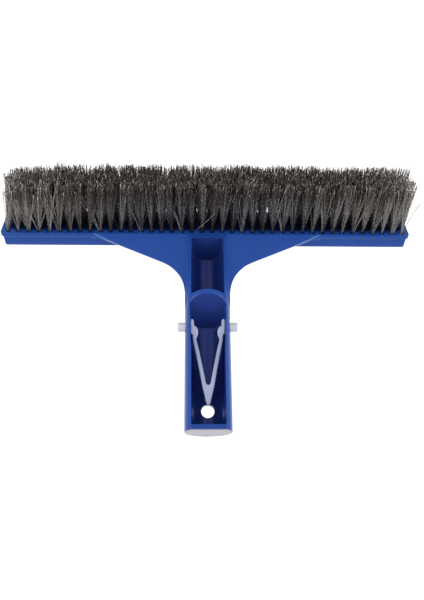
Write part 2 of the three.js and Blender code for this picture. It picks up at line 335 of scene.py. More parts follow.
def shade_from_field(mesh, field, points, kind=float):
    """Takes the shading normals from the field at the mesh's vertices."""
    normals = differences(field, points, SHADE_REACH, kind)
    normals /= np.maximum(np.linalg.norm(normals, axis=1), 1e-9)[:, None]
    mesh.normals_split_custom_set_from_vertices([tuple(normal) for normal in normals])


def simplify(ob, triangles, field):
    """Collapses flat areas down to about that many triangles, then puts the shading
    normals back from the field itself."""
    have = sum(len(p.vertices) - 2 for p in ob.data.polygons)
    if have > triangles:
        collapse = ob.modifiers.new("collapse", "DECIMATE")
        collapse.decimate_type = "COLLAPSE"
        collapse.ratio = triangles / have
        depsgraph = bpy.context.evaluated_depsgraph_get()
        reduced = bpy.data.meshes.new_from_object(ob.evaluated_get(depsgraph))
        ob.modifiers.clear()
        dense = ob.data
        ob.data = reduced
        bpy.data.meshes.remove(dense)
    mesh = ob.data
    coords = np.empty(len(mesh.vertices) * 3, np.float32)
    mesh.vertices.foreach_get("co", coords)
    mesh.polygons.foreach_set("use_smooth", np.full(len(mesh.polygons), True))
    shade_from_field(mesh, field, coords.reshape(-1, 3).astype(float) / MM)
    mesh.update()


# ------------------------------------------------------------------ body
def web_outline():
    """Both edges of the web, run on a little into the head and the handle."""
    right = [(WEB_STRAIGHT[0][0] + 0.6, LIP_Y + 6)] + WEB_STRAIGHT
    right += open_curve(WEB_CURVE, steps=4)
    right.append((12.6, WEB_TAIL_Y - 5))
    return [(-x, y) for x, y in right] + right[::-1]


WEB_OUTLINE = web_outline()
WEB_SLOPE = (WEB_Z - WEB_BEND_Z) / (LIP_Y - WEB_BEND_Y)


def web_top(y):
    """Height of the web's top: a slope at the head, bending down along the handle."""
    t = np.clip((WEB_BEND_Y - y) / (WEB_BEND_Y - WEB_TAIL_Y), 0, 1.4)
    return (
        WEB_BEND_Z
        + np.maximum(y - WEB_BEND_Y, 0) * WEB_SLOPE
        - (WEB_BEND_Z - WEB_TAIL_Z) * t * t
    )


def web_field(x, y, z):
    depth = web_top(y) - z
    # the side is drafted; towards the ends at the head it leans the other way
    draft = 0.26 - 0.70 * smooth_step((np.abs(x) - 57.0) / 13.0)
    side = polygon(x, y, WEB_OUTLINE) + draft * np.clip(depth, -1, 5)
    return round_overlap(side, np.abs(depth - WEB_T / 2) - WEB_T / 2, radius=0.42)


def lip_field(x, back, rise):
    outline = rectangle(x, back - HEAD_D / 2, HEAD_W / 2, HEAD_D / 2, radius=2.7)
    return round_overlap(outline, np.abs(rise + LIP_T / 2) - LIP_T / 2, radius=0.55)


def block_field(x, back, rise):
    """The drafted block under the lip."""
    t = np.clip((-rise - LIP_T) / BLOCK_T, -0.2, 1.1)
    outline = rectangle(
        x,
        back - HEAD_D / 2,
        HEAD_W / 2 - BLOCK_INSET_X - BLOCK_DRAFT_X * t,
        HEAD_D / 2 - BLOCK_INSET_Y - BLOCK_DRAFT_Y * t,
        radius=0.9,
    )
    block = round_overlap(outline, -rise - LIP_T - BLOCK_T, radius=2.1)
    return np.maximum(block, rise + 0.5)


def trough_section(x, z, half_width, draft, floor):
    """A trough's section: upright sides above the axis, round below, a flat floor."""
    round_part = np.sqrt(x * x + z * z) - half_width
    section = np.where(z > 0, np.abs(x) - half_width - draft * z, round_part)
    return round_overlap(section, floor - z, radius=0.4)


def leaning_face(y, z, edge_y, edge_z, degrees):
    """Half space on the -y side of a face through (edge_y, edge_z), leaning to +y
    as it rises."""
    angle = math.radians(degrees)
    return (y - (edge_y - (edge_z - z) * math.tan(angle))) * math.cos(angle)


def near_trough(x, y, z):
    wide = NEAR_TROUGH_R + FLARE * np.clip(y - FLARE_Y, 0, 60)
    # a shallow dip across the floor
    dip = 0.16 * (smooth_step((y - 44.2) / 0.5) - smooth_step((y - 48.6) / 0.5))
    section = trough_section(x, z, wide, draft=0.015, floor=TROUGH_FLOOR_Z - dip)
    arch = leaning_face(y, z, ARCH_NEAR_Y, HANDLE_R, degrees=32.5)
    return round_overlap(round_overlap(section, arch, radius=1.3), END_WALL - y, radius=0.9)


def far_trough(x, y, z):
    section = trough_section(x, z, FAR_TROUGH_R, draft=0.0, floor=TROUGH_FLOOR_Z)
    arch = -leaning_face(y, z, ARCH_FAR_Y, HANDLE_R, degrees=18)
    end = leaning_face(y, z, FAR_END_Y, RIM_Z, degrees=22)
    return round_overlap(round_overlap(section, arch, radius=1.3), end, radius=0.9)


def button_holes(x, y, z):
    past = y - BUTTON_Y - np.clip(y - BUTTON_Y, 0, BUTTON_SLOT)
    return np.maximum(np.sqrt(z * z + past * past) - BUTTON_HOLE_R, 7.0 - np.abs(x))


def peg_seat(x, y, z):
    return np.maximum(
        np.maximum(np.abs(x) - 1.95, np.abs(y - SEAT_Y) - 2.95),
        np.maximum(-12.2 - z, z + 5),
    )


def nearest_tuft(offset, count):
    """Place of the nearest of count tufts spread evenly about zero."""
    return (np.clip(np.round(offset / PITCH - 0.5), -count // 2, count // 2 - 1) + 0.5) * PITCH


def tuft_holes(x, back, rise):
    middle = back - HEAD_D / 2
    from_x = x - nearest_tuft(x, COLUMNS)
    from_back = middle - nearest_tuft(middle, ROWS)
    radial = np.sqrt(from_x**2 + from_back**2)
    return np.maximum(radial - TUFT_HOLE_R, -rise - TUFT_HOLE_DEPTH)


def body_field(x, y, z):
    back = (y - LIP_Y) * COS_TILT - (z - LIP_Z) * SIN_TILT
    rise = (y - LIP_Y) * SIN_TILT + (z - LIP_Z) * COS_TILT

    solid = round_overlap(np.sqrt(x * x + z * z) - HANDLE_R, -y, radius=0.45)
    solid = round_overlap(solid, back - (HEAD_D - HANDLE_INSET), radius=1.2)
    solid = round_union(solid, web_field(x, y, z), radius=1.3)
    solid = round_union(solid, block_field(x, back, rise), radius=1.8)
    solid = round_union(solid, lip_field(x, back, rise), radius=0.4)

    # nothing above the bristle face; the end wall is as high as the rims
    solid = round_overlap(solid, rise, radius=0.45)
    above_wall = np.maximum(np.abs(x) - FAR_TROUGH_R - 0.6, y - END_WALL - 2)
    solid = round_cut(solid, np.maximum(RIM_Z - z, above_wall), radius=0.5)

    solid = round_cut(solid, near_trough(x, y, z), radius=0.35)
    solid = round_cut(solid, far_trough(x, y, z), radius=0.35)
    hole = np.maximum(np.sqrt(x * x + (y - HOLE_Y) ** 2) - HOLE_D / 2, z + 2)
    solid = round_cut(solid, hole, radius=0.2)
    solid = round_cut(solid, button_holes(x, y, z), radius=0.35)
    solid = round_cut(solid, peg_seat(x, y, z), radius=0.2)
    return round_cut(solid, tuft_holes(x, back, rise), radius=0.3)


def build_body():
    verts, quads = surface(
        body_field, low=(-129, -1.2, -15), high=(129, 148, 15), step=0.5
    )
    ob = mesh_object("body_moulding", verts, quads)
    ob.data.validate()
    simplify(ob, 190000, body_field)
    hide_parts("body")
    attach(ob, "root")
    return ob


body = build_body()

# ------------------------------------------------------------------ clip
# right half of the clip seen from above, (x, y): from the stem's tip up the arm's outer
# edge, round its head and back down the inner edge; the ends lie beyond the mid-line
CLIP_POINTS = [
    (-3.0, 15.5), (0.55, 15.5), (1.1, 15.9), (1.5, 17.0), (1.95, 19.4),
    (2.5, 21.7), (3.05, 24.0), (3.6, 26.4), (4.15, 29.2), (4.72, 32.4),
    (5.4, 36.0), (6.05, 39.6), (6.75, 43.1), (7.5, 46.9), (8.22, 50.4),
    (8.72, 52.9), (8.9, 54.2), (9.0, 55.4), (9.08, 56.7), (9.35, 57.3),
    (9.85, 57.5), (10.02, 58.0), (10.1, 59.2), (10.2, 61.2), (10.3, 64.2),
    (10.3, 65.6), (10.05, 66.6), (9.4, 67.0), (8.7, 66.65), (8.35, 65.7),
    (8.3, 64.4), (8.3, 63.3), (8.0, 62.7), (7.15, 62.1), (6.4, 61.2),
    (5.92, 59.9), (5.75, 58.4), (5.92, 57.0), (6.42, 55.9), (6.75, 54.9),
    (6.7, 53.4), (6.05, 50.6), (5.18, 46.9), (4.43, 43.1), (3.7, 39.6),
    (2.98, 36.0), (2.28, 32.4), (1.72, 29.4), (1.38, 27.9), (0.85, 26.95),
    (0.0, 26.6), (-3.0, 26.55),
]
CLIP_OUTLINE = closed_curve(CLIP_POINTS, steps=3, corners=(0, len(CLIP_POINTS) - 1))
CLIP_TOP_Z = 4.2
CLIP_BOTTOM_Z = -2.0
CLIP_STEP = 0.22


def clip_field(x, y, z):
    ax = np.abs(x)
    # the strip's sides are drafted, so it is a little narrower at its lower edge
    outline = polygon(ax, y, CLIP_OUTLINE) + 0.09 * np.clip(3.9 - z, 0, 6)
    # the stem's upper face falls away gently towards its tip
    drop = 0.022 * np.maximum(25.0 - y, 0) ** 2
    plate = round_overlap(outline, z - CLIP_TOP_Z + drop, radius=0.5)
    plate = round_overlap(plate, CLIP_BOTTOM_Z - z, radius=0.45)
    # under the stem a leg stands on the trough's floor, with a peg in its seat
    leg = rectangle(x, y - SEAT_Y, 2.15 + 0.07 * (y - SEAT_Y), 2.6, radius=0.5)
    leg = np.maximum(leg, np.maximum(TROUGH_FLOOR_Z - 0.05 - z, z))
    peg = rectangle(x, y - SEAT_Y, 1.6, 2.6, radius=0.4)
    peg = np.maximum(peg, np.maximum(-11.9 - z, z + 6))
    solid = round_union(round_union(plate, leg, radius=0.6), peg, radius=0.3)
    radial = np.sqrt((y - BUTTON_Y) ** 2 + z * z)
    button = round_overlap(radial - BUTTON_D / 2, ax - BUTTON_TIP, radius=1.0)
    button = np.maximum(button, 8.6 - ax)
    return round_union(solid, button, radius=0.4)


def root_field(x, y, z):
    return np.maximum(clip_field(x, y, z), y - SPLIT_Y)


def clip_piece(name, field, low, high):
    verts, quads = surface(field, low, high, CLIP_STEP)
    # the split section is flat and exact
    near = np.abs(verts[:, 1] - SPLIT_Y) < 0.5 * CLIP_STEP
    verts[near, 1] = SPLIT_Y
    ob = mesh_object(name, verts, quads)
    ob.data.validate()
    # normals of the whole clip, so that the pieces shade as one across the split
    shade_from_field(ob.data, clip_field, verts, kind=np.float32)
    return ob


def clip_arm(word, side):
    """One arm; side is -1 on the left and 1 on the right."""
    def arm_field(x, y, z):
        return np.maximum(clip_field(x, y, z), np.maximum(SPLIT_Y - y, -side * x))

    low_x, high_x = (0.2, 19.2) if side > 0 else (-19.2, -0.2)
    arm = clip_piece(
        f"clip_arm_{word}", arm_field, (low_x, SPLIT_Y - 0.6, -4), (high_x, 68.8, 5.2)
    )
    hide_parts(f"v_clip_arm_{word}")
    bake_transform(arm)
    return arm


clip_root = clip_piece("clip_root", root_field, (-5.5, 14.5, -12.6), (5.5, SPLIT_Y + 0.6, 5.2))
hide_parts("v_clip_root")
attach(clip_root, "root")
clip_arms = [clip_arm("left", -1), clip_arm("right", 1)]


# ------------------------------------------------------------------ tufts
rng = np.random.default_rng(20417)
PLAIN_COUNT = 84                                # plain wires in a tuft
CRIMPED_COUNTS = ((44, 22, 14, 14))   # crimped ones, by row
PLAIN_POINTS = 10               # along a wire
CRIMPED_POINTS = 46
SIDES = 3

# How rows differ. lean: spread of the tufts' sideways lean; fan: range of the fan's
# half width; back_fan: the fan front to back, as a share; length_spread: of the wires;
# early: above 0 they spread out soon and then run nearly parallel; tint: added
# lightness, painted light on the front row; and last the darkening near the holes, painted
# shade
FRONT_ROW = SimpleNamespace(
    lean=0.95, fan=(2.0, 2.8), back_fan=0.6, length_spread=1.3, early=-0.2, tint=0.12, hole_shade=0.66
)
OTHER_ROW = SimpleNamespace(
    lean=1.1, fan=(5.2, 6.4), back_fan=0.9, length_spread=0.75, early=0.5, tint=0.0, hole_shade=0.90
)
ROW_STYLES = (FRONT_ROW, OTHER_ROW, OTHER_ROW, OTHER_ROW)
ROW_BACK_LEAN = (-0.35, 0.0, 0.0, 0.25)
LEFT_END_LEAN = (3.6, 1.2)              # the first columns lean further inwards
RIGHT_END_LEAN = (0.8, 1.8, 3.2)        # and so do the last

# single stray wires: column, tint, radius, and points (across, back, rise) from the hole
STRAYS = [
    (39, 0.9, 0.15, [(0.5, 0, -3), (1.2, -0.3, 4), (3.0, -0.5, 14), (5.5, -0.8, 22),
                     (8.2, -1.0, 28), (10.2, -1.0, 31)]),
    (39, 0.8, 0.14, [(0.4, 0, -3), (1.0, -0.2, 4), (3.0, -0.4, 15), (5.0, -0.6, 21),
                     (7.0, -1.0, 25)]),
    (18, 1.0, 0.12, [(0.6, -0.3, -1.5), (4.5, -1.2, 4), (9.0, -1.6, 9), (14.0, -1.5, 15)]),
    (9, 0.95, 0.14, [(-0.4, -0.2, -3), (-3.2, -1.0, 8), (-7.5, -1.2, 18), (-11.0, -1.0, 27)]),
]
LOOSE_COLUMNS = (2, 3, 4, 5, 6, 9, 13, 17, 23, 27, 31, 34, 36, 38)
LOOSE_WIRES = 3                 # in each of those columns
STRAY_SAMPLES = 15              # a stray's points before smoothing


def tube_mesh(paths, radii):
    """paths (n, m, 3) centre lines, radii (n, m): closed thin tubes with flat ends."""
    count, points, _ = paths.shape
    tangent = np.gradient(paths, axis=1)
    tangent /= np.maximum(np.linalg.norm(tangent, axis=2, keepdims=True), 1e-9)
    reference = np.zeros_like(tangent)
    reference[..., 0] = 1.0
    side_a = np.cross(tangent, reference)
    side_a /= np.maximum(np.linalg.norm(side_a, axis=2, keepdims=True), 1e-9)
    side_b = np.cross(tangent, side_a)
    angle = 2 * np.pi * np.arange(SIDES) / SIDES
    rings = (
        paths[:, :, None, :]
        + radii[:, :, None, None]
        * (
            np.cos(angle)[None, None, :, None] * side_a[:, :, None, :]
            + np.sin(angle)[None, None, :, None] * side_b[:, :, None, :]
        )
    )
    starts = np.arange(count) * points * SIDES
    ends = starts + (points - 1) * SIDES
    ring = starts[:, None, None] + (np.arange(points - 1) * SIDES)[None, :, None]
    here = np.arange(SIDES)[None, None, :]
    after = (here + 1) % SIDES
    quads = np.stack(
        [ring + here, ring + SIDES + here, ring + SIDES + after, ring + after], -1
    ).reshape(-1, 4)
    caps = np.concatenate(
        [np.stack([starts, starts + 1, starts + 2], 1), np.stack([ends, ends + 2, ends + 1], 1)]
    )
    return rings.reshape(-1, 3), quads, caps


def wires_object(name, groups):
    """groups: (paths, radii, tint) with one number of points each."""
    parts = []
    base = 0
    for paths, radii, tint in groups:
        verts, quads, caps = tube_mesh(paths, radii)
        parts.append((verts, quads + base, caps + base, np.repeat(tint.ravel(), SIDES)))
        base += len(verts)
    verts, quads, caps, tint = (np.concatenate(part) for part in zip(*parts))
    ob = mesh_object(name, verts, quads, caps)
    attribute = ob.data.attributes.new("wire_tint", "FLOAT", "POINT")
    attribute.data.foreach_set("value", tint.astype(np.float32))
    return ob


def tuft_place(column, row):
    """Across and back places of a tuft's hole."""
    across = (column - (COLUMNS - 1) / 2) * PITCH
    return across, HEAD_D / 2 + (row - (ROWS - 1) / 2) * PITCH


def from_head(across, back, rise):
    """Head coordinates to the CAD frame."""
    return LIP + across[..., None] * ACROSS + back[..., None] * BACK + rise[..., None] * RISE


def tuft_traits(column, row):
    """What the wires of one tuft share."""
    style = ROW_STYLES[row]
    edge = (column - (COLUMNS - 1) / 2) / ((COLUMNS - 1) / 2)
    lean = rng.normal(0, style.lean)
    # the tufts of the left half stand a little inwards, the last ones most
    lean += 3.6 * float(smooth_step((17.0 - column) / 8.0))
    if column < len(LEFT_END_LEAN):
        lean += LEFT_END_LEAN[column]
    from_right = column - (COLUMNS - len(RIGHT_END_LEAN))
    if from_right >= 0:
        lean -= RIGHT_END_LEAN[from_right]
    return SimpleNamespace(
        lean=lean,
        back_lean=rng.normal(0, 0.5) + ROW_BACK_LEAN[row],
        fan=rng.uniform(*style.fan),
        # shorter towards both ends of the head
        length=TUFT_LEN
        + rng.normal(0, 0.6)
        - 1.6 * max(0.0, (5.0 - column) / 5.0)
        - 0.6 * (column < 14)
        - 0.4 * (column > 33),
        phase=rng.uniform(0, 2 * np.pi),
        wavelength=rng.uniform(2.7, 3.3),
        # painted light: towards both ends of the head the tufts are painted lighter and less
        # shaded near their holes
        tint=rng.normal(0, 0.06) + 0.42 * abs(edge) ** 7 + style.tint,
        hole_shade=style.hole_shade - 0.38 * abs(edge) ** 2,
    )


def bundle(column, row, count, points, crimped, tuft):
    """Centre lines, radii and tints of count wires of one tuft."""
    style = ROW_STYLES[row]
    hole_across, hole_back = tuft_place(column, row)
    angle = rng.uniform(0, 2 * np.pi, count)
    radial = rng.uniform(0, 1, count) ** 0.75
    if crimped:
        # these stand further out, in the front row only on the tuft's front side
        radial = np.sqrt(rng.uniform(0.1, 1, count))
        if row == 0:
            angle = rng.uniform(np.pi, 2 * np.pi, count)
    root_across = 0.64 * radial * np.cos(angle)
    root_back = 0.64 * radial * np.sin(angle)

    # the wires fan out of the hole; behind the front row the fan is wide and tufts merge
    tip_across = tuft.fan * radial * np.cos(angle) + rng.normal(0, 0.5, count)
    tip_back = tuft.fan * style.back_fan * radial * np.sin(angle) + rng.normal(0, 0.5, count)
    wild = rng.uniform(0, 1, count) < 0.18
    tip_across[wild] += rng.normal(0, 3.2, wild.sum())
    tip_back[wild] += rng.normal(0, 2.4, wild.sum())
    tip_across, tip_back = tip_across + tuft.lean, tip_back + tuft.back_lean
    # wires that would stand outside the head's ends bend back
    limit = 122.5 if hole_across < 0 else 126.0
    outside = np.maximum(np.abs(hole_across + tip_across) - limit, 0) * np.sign(hole_across)
    tip_across = tip_across - 0.8 * outside

    # the further a wire leans the lower its tip; one in ten is cut short
    length = (
        tuft.length
        + rng.normal(0, style.length_spread, count)
        - 0.016 * (tip_across * tip_across + tip_back * tip_back)
    )
    short = rng.uniform(0, 1, count) < 0.10
    length[short] -= rng.uniform(1.0, 7.0, short.sum())
    length = np.clip(length, TUFT_LEN - 10.0, TUFT_LEN + 1.8)
    along = np.linspace(0, 1, points)
    rise = -WIRE_ROOT + (length[:, None] + WIRE_ROOT) * along[None, :]
    up = np.clip(rise / length[:, None], 0, 1)

    # how far from root to tip offset a wire has come at each point
    bow = rng.normal(0.0, 0.10, count)[:, None]
    ease = up * (1 + bow - bow * up)
    ease = (1 - style.early) * ease + style.early * (1 - (1 - ease) ** 2)

    def spread(hole, root, tip):
        return hole + root[:, None] * (0.8 + 0.2 * up) + (tip - root)[:, None] * ease

    across = spread(hole_across, root_across, tip_across)
    back = spread(hole_back, root_back, tip_back)

    # a tight shared crimp, or a long loose wave of the wire's own
    if crimped:
        height = rng.uniform(0.22, 0.36, count)[:, None] * np.clip(up * 6.0, 0, 1)
        phase = tuft.phase + rng.normal(0, 0.5, count)[:, None]
        wavelength = tuft.wavelength * rng.uniform(0.98, 1.02, count)[:, None]
        heading = rng.normal(0, 0.5, count)[:, None]
    else:
        height = rng.uniform(0.06, 0.22, count)[:, None] * np.clip(up * 3.0, 0, 1)
        phase = rng.uniform(0, 2 * np.pi, count)[:, None]
        wavelength = rng.uniform(9.0, 15.0, count)[:, None]
        heading = rng.uniform(0, np.pi, count)[:, None]
    wave = np.sin(2 * np.pi * rise / wavelength + phase)
    across = across + height * wave * np.cos(heading)
    back = back + height * wave * np.sin(heading)

    def tip_bend():
        return rng.normal(0, 0.22, count)[:, None] * np.clip(up - 0.82, 0, 1) * 5.5

    across = across + tip_bend()
    back = back + tip_bend()
    radii = np.repeat(rng.uniform(0.115, 0.155, count)[:, None], points, 1)

    # one tint a wire; the crimped ones and one in ten of all are painted lighter, painted
    # highlights, and painted shade darkens every wire near the holes and towards the tips
    tint = rng.normal(0.76 if crimped else 0.62, 0.28, count) + tuft.tint
    tint[rng.uniform(0, 1, count) < 0.10] += 0.40
    near_hole = np.exp(-((rise / 12.5) ** 2))
    tint = tint[:, None] - tuft.hole_shade * near_hole - 0.50 * np.clip((up - 0.5) / 0.5, 0, 1)
    return from_head(across, back, rise), radii, np.clip(tint, 0, 1.3)


def stray(column, tint, radius, points):
    """One smoothed wire through points offset from a front row hole."""
    points = np.array(points, float)

    def resample(places, line):
        indices = np.arange(len(line))
        return np.stack([np.interp(places, indices, line[:, k]) for k in range(3)], 1)

    line = resample(np.linspace(0, len(points) - 1, STRAY_SAMPLES), points)
    for _ in range(3):
        line[1:-1] = 0.25 * line[:-2] + 0.5 * line[1:-1] + 0.25 * line[2:]
    line = resample(np.linspace(0, 1, PLAIN_POINTS) * (STRAY_SAMPLES - 1), line)
    across, back = tuft_place(column, 0)
    path = from_head(across + line[:, 0], back + line[:, 1], line[:, 2])
    shape = (1, PLAIN_POINTS)
    return path[None], np.full(shape, radius), np.full(shape, tint)


def loose_wire(column):
    """A stray leaning left in odd columns and right in even ones."""
    side = -1 if column % 2 else 1
    lean = rng.uniform(0.5, 1.4)
    points = [
        (0.3 * side, -0.3, -3),
        (1.8 * side * lean, -0.9, 8),
        (4.2 * side * lean, -1.3, 17),
        (6.2 * side * lean, -1.2, rng.uniform(22, 28)),
    ]
    return stray(column, 0.95, 0.14, points)


def tuft_column(column):
    plain, crimped = [], []
    for row in range(ROWS):
        tuft = tuft_traits(column, row)
        plain.append(bundle(column, row, PLAIN_COUNT, PLAIN_POINTS, False, tuft))
        crimped.append(bundle(column, row, CRIMPED_COUNTS[row], CRIMPED_POINTS, True, tuft))
    plain += [stray(*entry) for entry in STRAYS if entry[0] == column]
    if column in LOOSE_COLUMNS:
        plain += [loose_wire(column) for _ in range(LOOSE_WIRES)]
    groups = [[np.concatenate(part) for part in zip(*wires)] for wires in (plain, crimped)]
    ob = wires_object(f"tufts_{column + 1:02d}", groups)
    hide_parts(f"tuft_column_{column + 1:02d}")
    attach(ob, "root")
    return ob


columns = [tuft_column(column) for column in range(COLUMNS)]


# ------------------------------------------------------------------ shader tools
class Nodes:
    """Short calls for building one node tree. Values may be sockets or numbers."""

    def __init__(self, tree):
        self.tree = tree

    def add(self, kind, **inputs):
        """A node; inputs are named with _ for a space."""
        node = self.tree.nodes.new("ShaderNode" + kind)
        for name, value in inputs.items():
            self.feed(node.inputs[name.replace("_", " ")], value)
        return node

    def feed(self, socket, value):
        if isinstance(value, bpy.types.NodeSocket):
            self.tree.links.new(value, socket)
        else:
            socket.default_value = value

    def math(self, operation, *values, clamp=False):
        node = self.add("Math")
        node.operation = operation
        node.use_clamp = clamp
        for socket, value in zip(node.inputs, values):
            self.feed(socket, value)
        return node.outputs[0]

    def product(self, first, *others):
        for other in others:
            first = self.math("MULTIPLY", first, other)
        return first

    def distance(self, value, centre):
        return self.math("ABSOLUTE", self.math("SUBTRACT", value, centre))

    def excess(self, value, limit, gain):
        """How far value is over limit, times gain, held between 0 and 1."""
        return self.math("MULTIPLY", self.math("SUBTRACT", value, limit), gain, clamp=True)

    def noise(self, vector, scale, detail, roughness=0.5):
        node = self.add(
            "TexNoise", Vector=vector, Scale=scale, Detail=detail, Roughness=roughness
        )
        return node.outputs["Fac"]

    def remap(self, value, start, end, low=0.0, high=1.0, smooth=False):
        node = self.add(
            "MapRange", Value=value, From_Min=start, From_Max=end, To_Min=low, To_Max=high
        )
        if smooth:
            node.interpolation_type = "SMOOTHSTEP"
        return node.outputs[0]

    def fade(self, value, zero, one):
        """A smooth mask, 0 where value is at zero and 1 where it is at one."""
        return self.remap(value, zero, one, smooth=True)

    def ramp(self, factor, stops):
        node = self.add("ValToRGB", Fac=factor)
        elements = node.color_ramp.elements
        while len(elements) < len(stops):
            elements.new(0.5)
        for element, (position, colour) in zip(elements, stops):
            element.position = position
            element.color = (*colour, 1)
        return node.outputs["Color"]

    def tint(self, factor, base, colour):
        """base mixed towards a fixed colour."""
        node = self.add("Mix")
        node.data_type = "RGBA"
        # sockets 0, 6 and 7 are the factor and the two colours
        self.feed(node.inputs[0], factor)
        self.feed(node.inputs[6], base)
        self.feed(node.inputs[7], (*colour, 1))
        return node.outputs[2]

    def fine_bump(self, height):
        return self.add("Bump", Strength=0.05, Distance=0.0002, Height=height).outputs[0]

    def object_position(self):
        return self.add("TexCoord").outputs["Object"]

    def split(self, vector):
        return self.add("SeparateXYZ", Vector=vector).outputs


def new_material(name, fill):
    """A material; fill(nodes) builds its tree and returns the shader's inputs."""
    material = bpy.data.materials.new(name)
    material.use_nodes = True
    nodes = Nodes(material.node_tree)
    nodes.tree.nodes.clear()
    output = nodes.add("OutputMaterial")
    shader = nodes.add("BsdfPrincipled")
    nodes.tree.links.new(shader.outputs[0], output.inputs[0])
    for socket, value in fill(nodes).items():
        nodes.feed(shader.inputs[socket], value)
    return material


# ------------------------------------------------------------------ materials
def blue_plastic(nodes):
    position = nodes.object_position()
    x, y, z = nodes.split(position)
    fade = nodes.fade
    # slow colour drift of the moulding
    drift = nodes.noise(position, scale=22.0, detail=3.0)
    colour = nodes.ramp(drift, [(0.3, (0.0100, 0.064, 0.333)), (0.7, (0.0128, 0.076, 0.378))])

    # scuffed specks along the rims of the troughs
    side = nodes.math("ABSOLUTE", x)
    rim = nodes.math("LESS_THAN", nodes.distance(side, 0.0101), 0.00055)
    high = nodes.math("GREATER_THAN", z, 0.0088)
    speck = nodes.noise(position, scale=760.0, detail=2.0)
    speck = nodes.excess(speck, limit=0.63, gain=9.0)
    colour = nodes.tint(nodes.product(rim, high, speck, 0.45), colour, (0.22, 0.30, 0.50))

    # painted shade: the troughs' inner faces are painted darker than the outside, where the
    # deep troughs lie in shade
    squares = nodes.math("ADD", nodes.math("MULTIPLY", x, x), nodes.math("MULTIPLY", z, z))
    radial = nodes.math("SQRT", squares)
    trough_shade = nodes.product(
        fade(side, zero=0.0112, one=0.0108),
        fade(radial, zero=0.0136, one=0.0132),
        fade(y, zero=0.1202, one=0.1198),
        fade(y, zero=0.0028, one=0.0038),
    )
    colour = nodes.tint(trough_shade, colour, (0.016, 0.042, 0.225))
    # the flat strip along the bottom is painted lighter, a painted reflection of the sky, with
    # two painted highlight streaks
    floor_reflection = nodes.product(trough_shade, fade(z, zero=-0.0088, one=-0.0093))
    colour = nodes.tint(floor_reflection, colour, (0.010, 0.050, 0.340))
    floor_streak_highlight = fade(nodes.distance(side, 0.0017), zero=0.0007, one=0.0001)
    colour = nodes.tint(nodes.product(floor_reflection, floor_streak_highlight, 0.5), colour, (0.060, 0.090, 0.420))
    # the top of the end wall is painted darker
    wall = nodes.product(
        fade(y, zero=0.0037, one=0.0029), fade(side, zero=0.0106, one=0.0096), 0.45
    )
    colour = nodes.tint(wall, colour, (0.006, 0.036, 0.230))

    # painted shade: between the tufts the face is painted nearly black, where the dense tufts
    # keep the light off; there it is also rougher and less shiny
    from_y = nodes.math("SUBTRACT", y, LIP_Y * MM)
    from_z = nodes.math("SUBTRACT", z, LIP_Z * MM)

    def turned(operation, y_share, z_share):
        y_part = nodes.math("MULTIPLY", from_y, y_share)
        return nodes.math(operation, y_part, nodes.math("MULTIPLY", from_z, z_share))

    back = turned("SUBTRACT", COS_TILT, SIN_TILT)
    rise = turned("ADD", SIN_TILT, COS_TILT)
    tuft_gap_shade = nodes.product(
        fade(back, zero=0.0024, one=0.0066),
        fade(rise, zero=-0.0014, one=-0.0006),
        fade(side, zero=0.1275, one=0.1245),
        fade(back, zero=0.0246, one=0.0236),
    )
    colour = nodes.tint(nodes.product(tuft_gap_shade, 0.93), colour, (0.004, 0.006, 0.016))

    # painted highlights: two edges are painted lighter, the lip's lower one and the web's outer
    # one
    lip_edge_highlight = nodes.product(
        fade(rise, zero=-0.0039, one=-0.0033),
        fade(rise, zero=-0.0021, one=-0.0027),
        fade(back, zero=0.0016, one=0.0009),
        fade(side, zero=0.0690, one=0.0705),
        0.55,
    )
    # distance from the line of the web's straight edge; the factors are its unit normal
    off_x = nodes.math("MULTIPLY", nodes.math("SUBTRACT", side, 0.0702), 0.447)
    off_y = nodes.math("MULTIPLY", nodes.math("SUBTRACT", y, 0.1221), 0.894)
    web_edge_highlight = nodes.product(
        fade(nodes.distance(off_x, off_y), zero=0.0006, one=0.0002),
        fade(z, zero=0.0058, one=0.0064),
        fade(y, zero=0.1130, one=0.1155),
        fade(y, zero=0.1226, one=0.1222),
        0.9,
    )
    edge_highlights = nodes.math("MAXIMUM", lip_edge_highlight, web_edge_highlight)
    colour = nodes.tint(edge_highlights, colour, (0.075, 0.190, 0.480))
    # the handle's end face is painted pale, a painted reflection of the white floor seen at a
    # grazing angle
    colour = nodes.tint(fade(y, zero=0.0005, one=0.0002), colour, (0.28, 0.28, 0.36))

    # fine moulded grain and a few hairline scratches along the handle
    grain = nodes.noise(position, scale=900.0, detail=2.0, roughness=0.6)
    stretched = nodes.add(
        "Mapping", Vector=position, Scale=(900.0, 26.0, 900.0), Rotation=(0.0, 0.0, 0.06)
    )
    scratch = nodes.noise(stretched.outputs[0], scale=1.0, detail=2.0)
    scratch = nodes.excess(scratch, limit=0.66, gain=6.0)
    patches = nodes.noise(position, scale=60.0, detail=3.0, roughness=0.55)
    rough = nodes.remap(patches, start=0.3, end=0.7, low=0.19, high=0.27)
    rough = nodes.math("ADD", rough, nodes.product(scratch, 0.12))
    rough = nodes.math("ADD", rough, nodes.product(tuft_gap_shade, 0.45))
    height = nodes.math("SUBTRACT", grain, nodes.product(scratch, 0.5))
    return {
        "Base Color": colour,
        "Roughness": rough,
        "Specular IOR Level": nodes.math("MULTIPLY_ADD", tuft_gap_shade, -0.42, 0.5),
        "Normal": nodes.fine_bump(height),
        "IOR": 1.42,
    }


